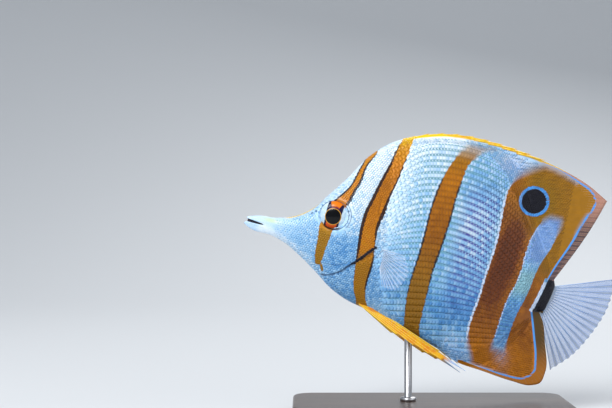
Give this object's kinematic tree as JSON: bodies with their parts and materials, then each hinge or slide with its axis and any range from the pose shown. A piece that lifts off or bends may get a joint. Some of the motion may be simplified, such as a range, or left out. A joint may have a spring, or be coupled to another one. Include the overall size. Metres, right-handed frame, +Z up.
{
  "type": "butterflyfish display model",
  "caption": "Deep, thin reef fish with a long tube snout, upright copper bands and a false eye spot, swimming nose up on a one-rod stand.",
  "frame": {"origin": "centre of the stand's foot, at its underside", "axes": "+X from the snout to the tail, +Y from the fish's left side to its right, +Z up"},
  "size_m": [0.1583, 0.0566, 0.1186],
  "materials": {
    "scaled_skin": "pearly scaled skin with copper bands",
    "copper_fin": "scaled fin base and rayed margin, copper to yellow",
    "clear_fin": "clear membrane with pale rays",
    "yellow_fin": "yellow folded fin with pale tips",
    "eye": "wet gloss",
    "dark_wood": "satin lacquer",
    "steel": "brushed"
  },
  "bodies": {
    "root": {"head": "scaled_skin", "upper_jaw": "scaled_skin", "lower_jaw": "scaled_skin", "trunk": "scaled_skin", "tail": "scaled_skin", "dorsal_fin": "copper_fin", "anal_fin": "copper_fin", "caudal_fin": "clear_fin", "left_pectoral_fin": "clear_fin", "right_pectoral_fin": "clear_fin", "left_pelvic_fin": "yellow_fin", "right_pelvic_fin": "yellow_fin", "left_eye": "eye", "right_eye": "eye", "stand_base": "dark_wood", "stand_rod": "steel"}
  },
  "joints": []
}
